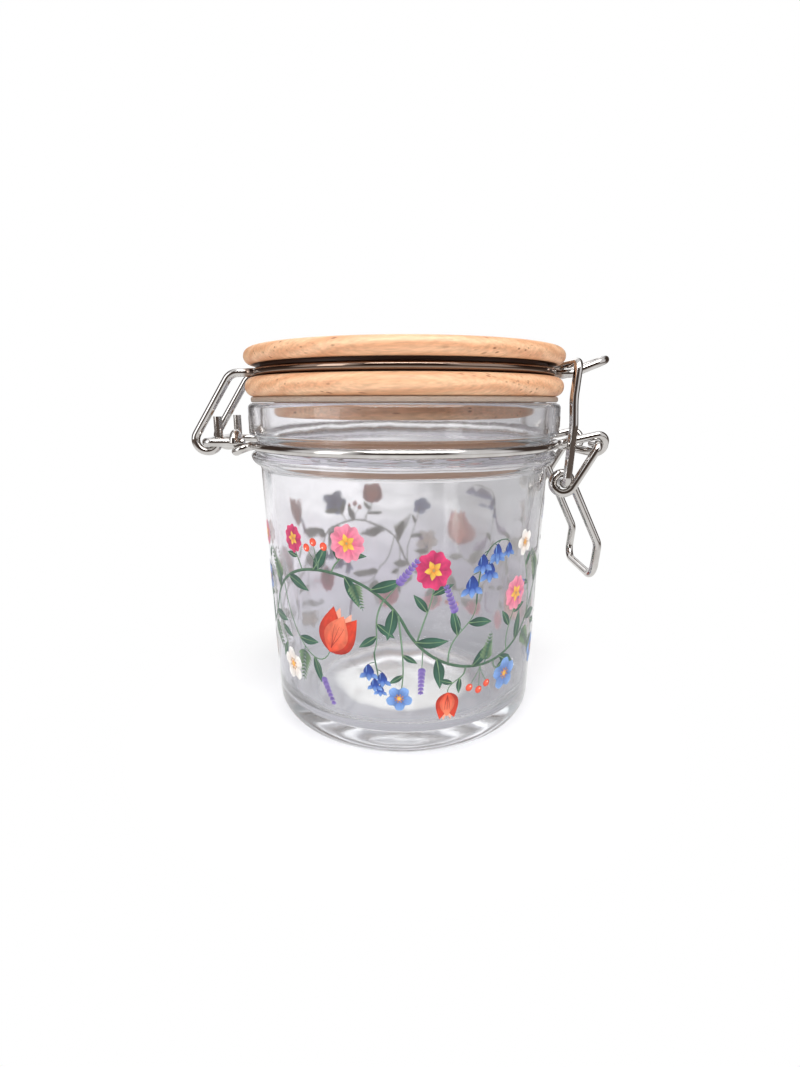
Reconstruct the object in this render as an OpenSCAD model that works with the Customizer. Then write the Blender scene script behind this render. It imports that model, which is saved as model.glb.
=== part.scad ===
// Clip-top storage jar: a tapered glass jar, a turned wooden lid with a silicone seal,
// and a closure bent from steel wire. Millimetres, +Z up. The origin lies on the jar's
// axis, on the surface that the jar stands on. The hinge is at -X and the latch at +X.

/* [Jar] */
// Height of the glass to the top of its rim
jar_h = 102.5; // [98:0.5:106]
// Outer diameter of the collar under the rim
neck_d = 99.4; // [99:0.1:99.8]
// Diameter of the mouth
mouth_d = 90; // [89:0.5:91]
// Outer diameter of the body under the collar
body_top_d = 92.8; // [91:0.2:93]
// Outer diameter of the body above the heel
body_base_d = 87.6; // [85:0.2:90]
// Thickness of the glass wall
wall_t = 3; // [2.5:0.1:3.5]
// Thickness of the glass floor
base_t = 6.5; // [5:0.5:9]
// Outer radius of the heel
heel_r = 7; // [5:0.5:9]
// Depth of the neck wire below the rim
neck_wire_drop = 12.5; // [11.5:0.25:13.5]

/* [Lid] */
// Diameter of the lid
lid_d = 100; // [99.5:0.1:100.3]
// Height of the upper flange
upper_flange_h = 4.8; // [4.4:0.1:5.4]
// Height of the groove that holds the lid wire
lid_groove_h = 3.6; // [3.2:0.1:4]
// Depth of the groove that holds the lid wire
lid_groove_depth = 5; // [4.8:0.1:5.2]
// Height of the lower flange
lower_flange_h = 5.8; // [5:0.1:6.6]
// Diameter of the plug that enters the mouth
plug_d = 83; // [80:0.5:84]
// Depth of the plug below the lower flange
plug_h = 6.2; // [4:0.2:7]
// Outer diameter of the seal
seal_d = 97; // [95:0.5:98]
// Height of the seal
seal_h = 1.6; // [1.2:0.1:2.2]

/* [Wire] */
// Diameter of the wire
wire_d = 2.6; // [2.4:0.1:2.6]
// Clearance between wires that pass each other
wire_gap = 0.12; // [0.1:0.02:0.16]

/* [Hinge] */
// Distance of the hinge bar from the jar's axis
hinge_reach = 61.5; // [60:0.5:63]
// Height of the hinge bar above the neck wire
hinge_rise = 0.6; // [0:0.1:1]
// Distance between the two hooks of the lid wire
hook_spacing = 21.4; // [20:0.2:23]
// Bend radius of the hooks
hook_r = 3.6; // [3.4:0.1:4]
// Length of the straight end of a hook
hook_end = 7; // [5:0.5:8]
// Distance from the jar's axis at which the lid wire turns down
arm_reach = 53; // [52.4:0.1:54.4]

/* [Latch] */
// Distance of the lever's pivot from the jar's axis
pivot_reach = 59.4; // [58.8:0.1:60.4]
// Distance between the planes of the lever's two arms
arm_spacing = 32.4; // [32:0.1:33]
// Distance of the bail's pivot, in from the lever's pivot
coil_in = 10.2; // [9.6:0.1:10.3]
// Distance of the bail's pivot below the lever's pivot
coil_drop = 11.8; // [11.4:0.1:12.4]
// Radius of the coil in the lever, to the middle of the wire
coil_r = 3; // [2.9:0.05:3.1]
// Distance from the bail's pivot out to the bend of the handle
handle_out = 13; // [11:0.5:15]
// Distance from the bail's pivot down to the bend of the handle
handle_down = 20; // [18:0.5:22]
// Distance from the bend of the handle down to its end
handle_end = 11; // [9:0.5:11]
// Slope of the lid wire's tongue
tongue_slope = 22; // [18:1:26]
// Distance of the tongue's tip from the jar's axis
tongue_reach = 64.2; // [62:0.2:66]
// Width of the tongue, between the middles of its two wires
tongue_w = 9; // [8.4:0.2:9.6]

/* [Hidden] */
$fn = 96;
wire_fn = 32;

wire_r = wire_d / 2;
pass = wire_d + wire_gap;

// A straight run is a hair thinner than the bends, and ends just inside them
run_thin = 0.02;
run_d = wire_d - run_thin;
run_lap = 0.1;

// Heights of the lid's parts: the seal stands a hair above the rim
rim_gap = 0.15;
seal_z = jar_h + rim_gap;
flange_z = seal_z + seal_h;
groove_z = flange_z + lower_flange_h;
upper_z = groove_z + lid_groove_h;
lid_top = upper_z + upper_flange_h;
lid_r = lid_d / 2;
plug_r = plug_d / 2;

// Lid wire, seated in the lid's groove
lid_wire_seat = 0.05;
lid_wire_rest = 0.1;
groove_floor_r = lid_r - lid_groove_depth;
lid_ring_r = groove_floor_r + wire_r + lid_wire_seat;
lid_wire_z = groove_z + wire_r + lid_wire_rest;

// Neck wire, seated in the collar's groove
neck_r = neck_d / 2;
neck_z = jar_h - neck_wire_drop;
neck_wire_proud = 0.1;
neck_ring_r = neck_r - wire_r + neck_wire_proud;
neck_groove_r = 3.1;
neck_groove_c = [neck_ring_r - wire_r - wire_gap + neck_groove_r, neck_z];

// Hinge: the hooks hang on the bar with a little play, beside the legs of the hinge loop
hook_play = 0.7;
leg_gap = 0.3;
hook_y = hook_spacing / 2;
hinge_z = neck_z + hinge_rise;
hook_c = [-hinge_reach, hinge_z + hook_play];
leg_y = hook_y + wire_d + leg_gap;
bar_bend_r = 2;

// Latch, as places in the X-Z plane and distances from the middle plane
coil_gap = 0.15;
ear_gap = 0.1;
ear_spread = 0.2;
ear_play = 0.8;
bail_gap = 0.25;
bar_gap = 0.1;
handle_tuck = 1;
tongue_flat = 1.6;
arm_y = arm_spacing / 2;
handle_y = arm_y - wire_d - coil_gap;
bail_y = arm_y + wire_d + bail_gap;
ear_y = arm_y - wire_d - ear_gap;
ear_return_y = ear_y - wire_d - ear_spread;
ear_rise = wire_d + ear_play;
pivot = [pivot_reach, neck_z];
coil = pivot - [coil_in, coil_drop];
handle_bend = coil + [handle_out, -handle_down];
handle_tip = handle_bend - [handle_tuck, handle_end];
bail_bar = [lid_r + wire_r + bar_gap, lid_wire_z + wire_d + bail_gap];
tongue_y = tongue_w / 2;
tongue_bend = bail_bar[0] + tongue_flat;
tongue_tip_z = lid_wire_z + (tongue_reach - tongue_bend) * tan(tongue_slope);

// Points along an arc about a centre, from one angle to another
function arc(c, r, from, to, n = 10) =
    [for (i = [0:n]) let (a = from + (to - from) * i / n) c + r * [cos(a), sin(a)]];

// Place at given distances from two centres, on the right of the line between them
function meeting(c, r, d, s) =
    let (v = d - c, l = norm(v), a = (r * r - s * s + l * l) / (2 * l), h = sqrt(r * r - a * a))
        c + (a * v + h * [v[1], -v[0]]) / l;

// Direction of a vector, and the heading from one place to the next of a line that passes
// one of the two at a distance
function unit(v) = v / norm(v);
function angle_of(v) = atan2(v[1], v[0]);
function heading_to(from, c, r) = angle_of(c - from) - asin(r / norm(c - from));

// A point of the X-Z plane at a given Y, a route mirrored across the middle plane and reversed
function at_y(p, y) = [p[0], y, p[1]];
function flip_y(p) = [p[0], -p[1], p[2]];
function reversed(list) = [for (i = [len(list) - 1:-1:0]) list[i]];
function and_back(half) = concat(half, reversed([for (p = half) flip_y(p)]));

// A point of a wire ring, and the place where the tangent there reaches a given Y
function on_ring(r, z, a) = [r * cos(a), r * sin(a), z];
function off_ring(r, z, a, y) = [r * cos(a) - (y - r * sin(a)) * tan(a), y, z];

// Turn at a point of a route, and how far its bend reaches along the straight runs
function turn(p, i) = acos(unit(p[i] - p[i - 1]) * unit(p[i + 1] - p[i]));
function setback(p, r, i) = i == 0 || i == len(p) - 1 ? 0 : r[i - 1] * tan(turn(p, i) / 2);

// One bend of a wire at a corner
module wire_bend(before, corner, after, r, t) {
    d = unit(corner - before);
    e = unit(after - corner);
    n = unit(e - d * (d * e));
    c = corner - d * r * tan(t / 2) + n * r;
    w = cross(-n, d);
    multmatrix([
        [-n[0], d[0], w[0], c[0]],
        [-n[1], d[1], w[1], c[1]],
        [-n[2], d[2], w[2], c[2]],
        [0, 0, 0, 1]
    ])
        rotate_extrude(angle = t)
            translate([r, 0])
                circle(d = wire_d, $fn = wire_fn);
}

// One straight run of a wire
module wire_run(from, to) {
    d = unit(to - from);
    translate(from - d * run_lap)
        rotate([0, acos(d[2]), atan2(d[1], d[0])])
            cylinder(h = norm(to - from) + 2 * run_lap, d = run_d, $fn = wire_fn);
}

// A wire bent along a route, with a bend radius for each inner point
module bent_wire(p, r) {
    last = len(p) - 1;
    for (i = [0:last - 1]) {
        d = unit(p[i + 1] - p[i]);
        wire_run(p[i] + d * setback(p, r, i), p[i + 1] - d * setback(p, r, i + 1));
    }
    for (i = [1:last - 1])
        wire_bend(p[i - 1], p[i], p[i + 1], r[i - 1], turn(p, i));
}

// Part of a wire ring
module ring_arc(r, z, from, to) {
    translate([0, 0, z])
        rotate([0, 0, from])
            rotate_extrude(angle = to - from)
                translate([r, 0])
                    circle(d = wire_d, $fn = wire_fn);
}

// Glass jar: standing ring and push-up, heel, tapered wall, bead, groove, collar and rounded rim
module glass_jar() {
    push_up = 2.4;
    push_up_r = 23;
    stand_r = 31;
    bead_r = 3.2;
    bead_in = 0.5;
    bead_drop = 3.1;
    bead_c = [neck_r - bead_in - bead_r, neck_z - bead_drop];
    lip_r = 1.6;
    lip_in = 0.2;
    collar_r = neck_r - lip_in;

    // The edges of the groove are fire-polished round
    edge_r = 0.8;
    bead_edge = meeting(bead_c, bead_r - edge_r, neck_groove_c, neck_groove_r + edge_r);
    bead_end = angle_of(bead_edge - bead_c);
    groove_low = angle_of(bead_edge - neck_groove_c);
    collar_edge_x = collar_r - edge_r;
    groove_high = acos((collar_edge_x - neck_groove_c[0]) / (neck_groove_r + edge_r));
    collar_edge = neck_groove_c + (neck_groove_r + edge_r) * [cos(groove_high), sin(groove_high)];

    throat_drop = 2;
    throat_h = 8.5;
    floor_r = 8;
    floor_crown = 1.2;
    throat_z = neck_z - throat_drop;
    mouth_r = mouth_d / 2;
    body_top_r = body_top_d / 2;
    body_base_r = body_base_d / 2;
    shoulder_drop = 7.5;
    color([0.86, 0.9, 0.92, 0.4])
        rotate_extrude()
            polygon(concat(
                [[0, push_up], [push_up_r, push_up], [stand_r, 0]],
                arc([body_base_r - heel_r, heel_r], heel_r, -90, 0),
                [[body_top_r, neck_z - shoulder_drop]],
                arc(bead_c, bead_r, -75, bead_end),
                arc(bead_edge, edge_r, bead_end, groove_low + 180, 6),
                arc(neck_groove_c, neck_groove_r, groove_low + 360, groove_high, 16),
                arc(collar_edge, edge_r, groove_high - 180, 0, 6),
                arc([collar_r - lip_r, jar_h - lip_r], lip_r, 0, 90),
                arc([mouth_r + lip_r, jar_h - lip_r], lip_r, 90, 180),
                [[mouth_r, throat_z], [body_top_r - wall_t, throat_z - throat_h]],
                arc([body_base_r - wall_t - floor_r, base_t + floor_r], floor_r, 0, -90),
                [[0, base_t + floor_crown]]
            ));
}

// Neck wire: one wire that starts in an eye, follows the groove, stands out in an ear on
// each side of the latch, and ends in the hinge loop, whose near leg lies in the eye
module neck_wire() {
    ring_end = 22.5;
    latch_end = 6;
    root_bend_r = 3;
    ear_x = pivot_reach + pass;
    ear_bend_r = 2.6;
    eye_out_x = 2.1;
    eye_x = -(neck_r + eye_out_x);
    eye_tilt = 0.4;
    eye_lead = 1;
    eye_lead_r = 2.2;
    eye_bend_r = pass - run_lap;
    eye_low = hinge_z - pass;
    eye_high = hinge_z + pass;
    eye_in = -leg_y + pass;
    eye_out = -leg_y - pass;
    leg_end_in = 0.3;
    loop_bend_r = 3.5;

    ear = [
        on_ring(neck_ring_r, neck_z, -ring_end),
        off_ring(neck_ring_r, neck_z, -ring_end, -ear_y),
        [ear_x, -ear_y, neck_z + ear_rise],
        [ear_x, -ear_return_y, neck_z - ear_rise],
        off_ring(neck_ring_r, neck_z, -latch_end, -ear_return_y),
        on_ring(neck_ring_r, neck_z, -latch_end)
    ];
    eye = [
        on_ring(neck_ring_r, neck_z, 180 + ring_end),
        off_ring(neck_ring_r, neck_z, 180 + ring_end, eye_out + eye_lead),
        [eye_x, eye_out - eye_tilt, eye_low],
        [eye_x, eye_in, eye_low],
        [eye_x, eye_in, eye_high],
        [eye_x, eye_out, eye_high],
        [eye_x, eye_out, hinge_z]
    ];
    loop = [
        on_ring(neck_ring_r, neck_z, 180 - ring_end),
        off_ring(neck_ring_r, neck_z, 180 - ring_end, leg_y),
        [-hinge_reach, leg_y, hinge_z],
        [-hinge_reach, -leg_y, hinge_z],
        [leg_end_in - neck_r, -leg_y, hinge_z]
    ];
    color([0.8, 0.8, 0.82]) {
        ring_arc(neck_ring_r, neck_z, 180 + ring_end, 360 - ring_end);
        ring_arc(neck_ring_r, neck_z, ring_end, 180 - ring_end);
        ring_arc(neck_ring_r, neck_z, -latch_end, latch_end);
        for (side = [0, 1])
            mirror([0, side, 0])
                bent_wire(ear, [root_bend_r, ear_bend_r, ear_bend_r, root_bend_r]);
        bent_wire(eye, [root_bend_r, eye_lead_r, eye_bend_r, eye_bend_r, eye_bend_r]);
        bent_wire(loop, [loop_bend_r, bar_bend_r, bar_bend_r]);
    }
}

// Wooden lid: one turned piece with two round-edged flanges, a groove between them and a plug
module wooden_lid() {
    plug_z = flange_z - plug_h;
    plug_edge = 1;
    upper_nose = upper_flange_h / 2;
    lower_nose = lower_flange_h / 2;
    color([0.87, 0.68, 0.5])
        rotate_extrude()
            polygon(concat(
                [[0, plug_z]],
                arc([plug_r - plug_edge, plug_z + plug_edge], plug_edge, -90, 0, 6),
                [[plug_r, flange_z]],
                arc([lid_r - lower_nose, flange_z + lower_nose], lower_nose, -90, 90, 18),
                [[groove_floor_r, groove_z], [groove_floor_r, upper_z]],
                arc([lid_r - upper_nose, upper_z + upper_nose], upper_nose, -90, 90, 18),
                [[0, lid_top]]
            ));
}

// Silicone seal: a flat ring round the plug, under the lower flange
module seal() {
    edge = 0.5;
    inner_r = plug_r + 0.1;
    outer_r = seal_d / 2;
    color([0.93, 0.92, 0.9])
        rotate_extrude()
            polygon(concat(
                [[inner_r, seal_z]],
                arc([outer_r - edge, seal_z + edge], edge, -90, 0, 5),
                arc([outer_r - edge, flange_z - edge], edge, 0, 90, 5),
                [[inner_r, flange_z]]
            ));
}

// Lid wire: one wire with a hook at each end and a tongue in the middle for the bail
module lid_wire() {
    arm_end = 18;
    tongue_end = 11.5;
    root_bend_r = 4;
    arm_bend_r = 4.5;
    hook_bend_r = hook_r - run_lap;
    tongue_bend_r = 5;
    tip_bend_r = tongue_y - run_lap;
    tongue_bends = [root_bend_r, tongue_bend_r, tip_bend_r];
    arm_top = [-arm_reach, lid_wire_z];
    drop_turn = -heading_to(arm_top, hook_c, hook_r);
    hook = [
        on_ring(lid_ring_r, lid_wire_z, 180 + arm_end),
        off_ring(lid_ring_r, lid_wire_z, 180 + arm_end, -hook_y),
        at_y(arm_top, -hook_y),
        at_y(hook_c - hook_r * [tan(drop_turn / 2), 1], -hook_y),
        at_y(hook_c + hook_r * [1, -1], -hook_y),
        at_y(hook_c + [hook_r, hook_end], -hook_y)
    ];
    tongue = [
        on_ring(lid_ring_r, lid_wire_z, -tongue_end),
        off_ring(lid_ring_r, lid_wire_z, -tongue_end, -tongue_y),
        [tongue_bend, -tongue_y, lid_wire_z],
        [tongue_reach, -tongue_y, tongue_tip_z]
    ];
    color([0.8, 0.8, 0.82]) {
        for (side = [0, 1])
            mirror([0, side, 0]) {
                ring_arc(lid_ring_r, lid_wire_z, 180 + arm_end, 360 - tongue_end);
                bent_wire(hook, [root_bend_r, arm_bend_r, hook_bend_r, hook_bend_r]);
            }
        bent_wire(and_back(tongue), concat(tongue_bends, reversed(tongue_bends)));
    }
}

// Latch lever: one wire with a pivot pin, an arm and a coil on each side, and the handle
module latch_lever() {
    pin_past = 0.4;
    pin_end = ear_return_y - wire_r - pin_past;
    pin_bend_r = 2.2;
    handle_bend_r = 6;
    end_bend_r = 4.5;
    arm_heading = heading_to(pivot, coil, -coil_r);
    handle_heading = heading_to(coil, handle_bend, coil_r);
    step = (arm_heading - handle_heading + 360) / 3;
    coil_y = [arm_y, (arm_y + handle_y) / 2, handle_y];

    // Corners of the triangle round the coil, whose bends make its turn
    corners = [
        for (k = [0:2])
            let (a = arm_heading - step * (k + 0.5))
                at_y(coil + coil_r / cos(step / 2) * [-sin(a), cos(a)], -coil_y[k])
    ];
    half = concat(
        [at_y(pivot, -pin_end), at_y(pivot, -arm_y)],
        corners,
        [at_y(handle_bend, -handle_y), at_y(handle_tip, -handle_y)]
    );
    bends = [pin_bend_r, coil_r, coil_r, coil_r, handle_bend_r, end_bend_r];
    color([0.8, 0.8, 0.82])
        bent_wire(and_back(half), concat(bends, reversed(bends)));
}

// Latch bail: one wire whose feet turn in the lever's coils and whose bar hooks the tongue
module latch_bail() {
    foot_past = 0.6;
    foot_end = handle_y - wire_r - foot_past;
    lower_kink = [1, 17.8];
    upper_kink = [0.6, 25.3];
    kink_in = 0.3;
    half = [
        at_y(coil, -foot_end),
        at_y(coil, -bail_y),
        at_y(coil + lower_kink, -bail_y),
        at_y(coil + upper_kink, kink_in - bail_y),
        at_y(bail_bar, -arm_y)
    ];
    foot_bend_r = 2.2;
    lower_kink_r = 12;
    upper_kink_r = 10;
    bar_corner_r = 3;
    bends = [foot_bend_r, lower_kink_r, upper_kink_r, bar_corner_r];
    color([0.8, 0.8, 0.82])
        bent_wire(and_back(half), concat(bends, reversed(bends)));
}

glass_jar();
neck_wire();
wooden_lid();
seal();
lid_wire();
latch_lever();
latch_bail();
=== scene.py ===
import math

import bpy
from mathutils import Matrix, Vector


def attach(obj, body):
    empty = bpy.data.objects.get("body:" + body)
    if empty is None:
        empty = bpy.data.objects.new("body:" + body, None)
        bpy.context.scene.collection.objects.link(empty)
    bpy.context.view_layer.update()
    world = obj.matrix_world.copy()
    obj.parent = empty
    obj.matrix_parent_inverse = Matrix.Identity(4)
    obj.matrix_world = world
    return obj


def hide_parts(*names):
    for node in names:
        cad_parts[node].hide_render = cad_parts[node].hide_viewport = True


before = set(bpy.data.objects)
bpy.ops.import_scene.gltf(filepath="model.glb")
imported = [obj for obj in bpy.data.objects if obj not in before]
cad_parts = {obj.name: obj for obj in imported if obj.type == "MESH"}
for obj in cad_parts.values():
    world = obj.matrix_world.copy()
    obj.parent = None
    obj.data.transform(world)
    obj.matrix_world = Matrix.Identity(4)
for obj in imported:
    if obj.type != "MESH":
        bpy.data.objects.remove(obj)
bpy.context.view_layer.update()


# Glass jar: pressed soda-lime glass with a tapered body, a rolled bead and a grooved collar.
# It was formed in a mould, fire-polished at the rim, and stands on a ring round a push-up.
MM = 0.001
TURN_STEPS = 192
MERGE_MM = 0.002

JAR_H = 102.5
NECK_R = 49.7
MOUTH_R = 45.0
BODY_TOP_R = 46.4
BODY_BASE_R = 43.8
WALL_T = 3.0
BASE_T = 6.5
HEEL_R = 7.0
LIP_R = 1.6
NECK_WIRE_Z = 90.0
SHOULDER_Z = 82.5
FLOOR_R = 8.0
GROOVE_R = 3.1
GROOVE_X = 50.18
BEAD_R = 3.2
EDGE_R = 0.8
PUSH_UP_R = 23.0
PUSH_UP_H = 2.4
STAND_R = 31.0
COLLAR_INSET = 0.2
BEAD_INSET = 0.5
BEAD_DROP = 3.1
BEAD_START = -75
MOUTH_LOW_Z = NECK_WIRE_Z - 2.0
THROAT_Z = NECK_WIRE_Z - 10.5
FLOOR_SWELL = ((12.0, 1.0), (0.0, 1.2))
ROUNDING = 1.2


def arc(centre, radius, start, end, steps=14):
    """Points along an arc about a centre, from one angle to another, in degrees."""
    turns = [math.radians(start + (end - start) * i / steps) for i in range(steps + 1)]
    return [(centre[0] + radius * math.cos(a), centre[1] + radius * math.sin(a)) for a in turns]


def turned(name, outline, rounding=0.0):
    """Draws an outline of radius and height in millimetres, and spins it round the jar's axis."""
    bpy.ops.object.select_all(action="DESELECT")
    bpy.ops.mesh.primitive_plane_add(size=MM)
    piece = bpy.context.object
    piece.name = piece.data.name = name
    bpy.ops.object.mode_set(mode="EDIT")
    bpy.ops.mesh.merge(type="CENTER")
    bpy.ops.transform.translate(value=(outline[0][0] * MM, 0, outline[0][1] * MM))
    for (r0, z0), (r1, z1) in zip(outline, outline[1:]):
        step = ((r1 - r0) * MM, 0, (z1 - z0) * MM)
        bpy.ops.mesh.extrude_region_move(TRANSFORM_OT_translate={"value": step})
    bpy.ops.mesh.select_all(action="SELECT")
    bpy.ops.mesh.spin(steps=TURN_STEPS, angle=2 * math.pi, center=(0, 0, 0), axis=(0, 0, 1))
    bpy.ops.mesh.select_all(action="SELECT")
    bpy.ops.mesh.remove_doubles(threshold=MERGE_MM * MM)
    bpy.ops.mesh.normals_make_consistent(inside=False)
    bpy.ops.object.mode_set(mode="OBJECT")
    if rounding:
        edge = piece.modifiers.new("rounded_edges", "BEVEL")
        edge.width = rounding * MM
        edge.segments = 3
        edge.limit_method = "ANGLE"
        edge.angle_limit = math.radians(30)
        bpy.ops.object.modifier_apply(modifier=edge.name)
    bpy.ops.object.shade_smooth_by_angle(angle=math.radians(40))
    return piece


def linear(hex_colour):
    """An sRGB hex colour as linear RGBA."""
    channels = [int(hex_colour[i:i + 2], 16) / 255 for i in (1, 3, 5)]
    return [c / 12.92 if c <= 0.04045 else ((c + 0.055) / 1.055) ** 2.4 for c in channels] + [1.0]


def add(tree, kind, inputs=None, **settings):
    """Adds a node, sets its properties, and sets or links its inputs by name or number."""
    node = tree.nodes.new(kind)
    for name, value in settings.items():
        setattr(node, name, value)
    for key, value in (inputs or {}).items():
        if isinstance(value, bpy.types.NodeSocket):
            tree.links.new(value, node.inputs[key])
        else:
            node.inputs[key].default_value = value
    return node


def finish_named(name):
    """A new material with its node tree, its main shader and its output."""
    material = bpy.data.materials.new(name)
    material.use_nodes = True
    tree = material.node_tree
    return material, tree, tree.nodes["Principled BSDF"], tree.nodes["Material Output"]


def round_axis(tree):
    """A point's place, its distance from the jar's axis and its height, for a material to read."""
    place = add(tree, "ShaderNodeTexCoord").outputs["Object"]
    flat = add(tree, "ShaderNodeMapping", {"Vector": place, "Scale": (1, 1, 0)}).outputs[0]
    out = add(tree, "ShaderNodeVectorMath", {0: flat}, operation="LENGTH").outputs["Value"]
    high = add(tree, "ShaderNodeSeparateXYZ", {0: place}).outputs["Z"]
    return place, out, high


def meeting(c, r, d, s):
    """The place at given distances from two centres, on the right of the line between them."""
    line = Vector(d) - Vector(c)
    along = (r * r - s * s + line.length_squared) / (2 * line.length)
    aside = math.sqrt(r * r - along * along)
    return Vector(c) + (along * line + aside * Vector((line.y, -line.x))) / line.length


def heading(vector):
    """The direction of a vector, in degrees."""
    return math.degrees(math.atan2(vector.y, vector.x))


collar_r = NECK_R - COLLAR_INSET
bead = Vector((NECK_R - BEAD_INSET - BEAD_R, NECK_WIRE_Z - BEAD_DROP))
groove = Vector((GROOVE_X, NECK_WIRE_Z))
bead_edge = meeting(bead, BEAD_R - EDGE_R, groove, GROOVE_R + EDGE_R)
bead_end = heading(bead_edge - bead)
groove_low = heading(bead_edge - groove)
groove_high = math.degrees(math.acos((collar_r - EDGE_R - GROOVE_X) / (GROOVE_R + EDGE_R)))
collar_edge = arc(groove, GROOVE_R + EDGE_R, groove_high, groove_high, 1)[0]
jar_outline = (
    [(0, PUSH_UP_H), (PUSH_UP_R, PUSH_UP_H), (STAND_R, 0)]
    + arc((BODY_BASE_R - HEEL_R, HEEL_R), HEEL_R, -90, 0)
    + [(BODY_TOP_R, SHOULDER_Z)]
    + arc(bead, BEAD_R, BEAD_START, bead_end)
    + arc(bead_edge, EDGE_R, bead_end, groove_low + 180, 8)
    + arc(groove, GROOVE_R, groove_low + 360, groove_high, 20)
    + arc(collar_edge, EDGE_R, groove_high - 180, 0, 8)
    + arc((collar_r - LIP_R, JAR_H - LIP_R), LIP_R, 0, 90)
    + arc((MOUTH_R + LIP_R, JAR_H - LIP_R), LIP_R, 90, 180)
    + [(MOUTH_R, MOUTH_LOW_Z), (BODY_TOP_R - WALL_T, THROAT_Z)]
    + arc((BODY_BASE_R - WALL_T - FLOOR_R, BASE_T + FLOOR_R), FLOOR_R, 0, -90)
    + [(r, BASE_T + rise) for r, rise in FLOOR_SWELL]
)
jar = turned("pressed_glass_jar", jar_outline, rounding=ROUNDING)

# Clear glass is a little grey where it is thick. The mould left its outside smooth but stippled
# round the foot, and the plunger left its inside rippled, but less so in the neck and the floor
glass, tree, shader, output = finish_named("Pressed_soda_lime_glass")
shader.inputs["Base Color"].default_value = linear("#FFFFFF")
shader.inputs["IOR"].default_value = 1.52
shader.inputs["Transmission Weight"].default_value = 1.0
place, out, high = round_axis(tree)
WAVE_MM, WAVE_DEPTH_MM = 13.0, 0.9
SKIN_MM, SKIN_DEPTH_MM = 2.0, 0.008
upright = add(tree, "ShaderNodeMapping", {"Vector": place, "Scale": (1, 1, 0.5)}).outputs[0]
waves = add(tree, "ShaderNodeTexNoise", {"Vector": upright, "Scale": 1 / (WAVE_MM * MM), "Detail": 1.0})
skin = add(tree, "ShaderNodeTexNoise", {"Vector": place, "Scale": 1 / (SKIN_MM * MM), "Detail": 2.0})
taper = (BODY_TOP_R - BODY_BASE_R) / (SHOULDER_Z - HEEL_R)
from_wall = add(tree, "ShaderNodeMath", {0: high, 1: -taper, 2: out}, operation="MULTIPLY_ADD")
mid_wall = (BODY_BASE_R - WALL_T / 2) * MM
inside = add(
    tree, "ShaderNodeMapRange",
    {0: from_wall.outputs[0], 1: mid_wall - MM, 2: mid_wall + MM, 3: 1.0, 4: 0.0},
    interpolation_type="SMOOTHSTEP",
)
CLEAR, STIPPLED, PLUNGER_HAZE = 0.01, 0.3, 0.09
FOOT_LOW, FOOT_HIGH = 0.2, 1.2
FOOT_R = PUSH_UP_R + 4.0
HAZE_LOW = BASE_T - 1.0
low = add(
    tree, "ShaderNodeMapRange", {0: high, 1: FOOT_LOW * MM, 2: FOOT_HIGH * MM, 3: STIPPLED, 4: CLEAR}
)
foot = add(tree, "ShaderNodeMapRange", {0: out, 1: FOOT_R * MM, 2: STAND_R * MM, 3: CLEAR, 4: STIPPLED})
stipple = add(tree, "ShaderNodeMath", {0: low.outputs[0], 1: foot.outputs[0]}, operation="MINIMUM")
above = add(
    tree, "ShaderNodeMapRange", {0: high, 1: HAZE_LOW * MM, 2: BASE_T * MM, 3: 0.0, 4: PLUNGER_HAZE}
)
hazy = add(tree, "ShaderNodeMath", {0: inside.outputs[0], 1: above.outputs[0]}, operation="MULTIPLY")
dull = add(tree, "ShaderNodeMath", {0: stipple.outputs[0], 1: hazy.outputs[0]}, operation="MAXIMUM")
tree.links.new(dull.outputs[0], shader.inputs["Roughness"])
NECK_CALM, FLOOR_CALM = 0.25, 0.2
neck_calm = add(
    tree, "ShaderNodeMapRange",
    {0: high, 1: SHOULDER_Z * MM, 2: MOUTH_LOW_Z * MM, 3: 1.0, 4: NECK_CALM},
)
floor_calm = add(
    tree, "ShaderNodeMapRange",
    {0: high, 1: BASE_T * MM, 2: (BASE_T + FLOOR_R) * MM, 3: FLOOR_CALM, 4: 1.0},
)
calm = add(
    tree, "ShaderNodeMath", {0: neck_calm.outputs[0], 1: floor_calm.outputs[0]}, operation="MINIMUM"
)
rippled = add(tree, "ShaderNodeMath", {0: inside.outputs[0], 1: calm.outputs[0]}, operation="MULTIPLY")
ripple = add(tree, "ShaderNodeMath", {0: waves.outputs[0], 1: rippled.outputs[0]}, operation="MULTIPLY")
wavy = add(
    tree, "ShaderNodeBump",
    {"Height": ripple.outputs[0], "Distance": WAVE_DEPTH_MM * MM, "Strength": 1.0},
)
rough_skin = add(
    tree, "ShaderNodeBump",
    {
        "Height": skin.outputs[0], "Distance": SKIN_DEPTH_MM * MM, "Strength": 1.0,
        "Normal": wavy.outputs[0],
    },
)
tree.links.new(rough_skin.outputs[0], shader.inputs["Normal"])
rays = add(tree, "ShaderNodeLightPath")
clear = add(tree, "ShaderNodeBsdfTransparent", {"Color": linear("#FAFAFC")})
body = add(
    tree, "ShaderNodeMixShader",
    {0: rays.outputs["Is Shadow Ray"], 1: shader.outputs[0], 2: clear.outputs[0]},
)
tint = add(tree, "ShaderNodeVolumeAbsorption", {"Color": linear("#C2CAD2"), "Density": 3.0})
tree.links.new(body.outputs[0], output.inputs["Surface"])
tree.links.new(tint.outputs[0], output.inputs["Volume"])
jar.data.materials.append(glass)
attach(jar, "jar")
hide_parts("glass_jar")


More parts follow.
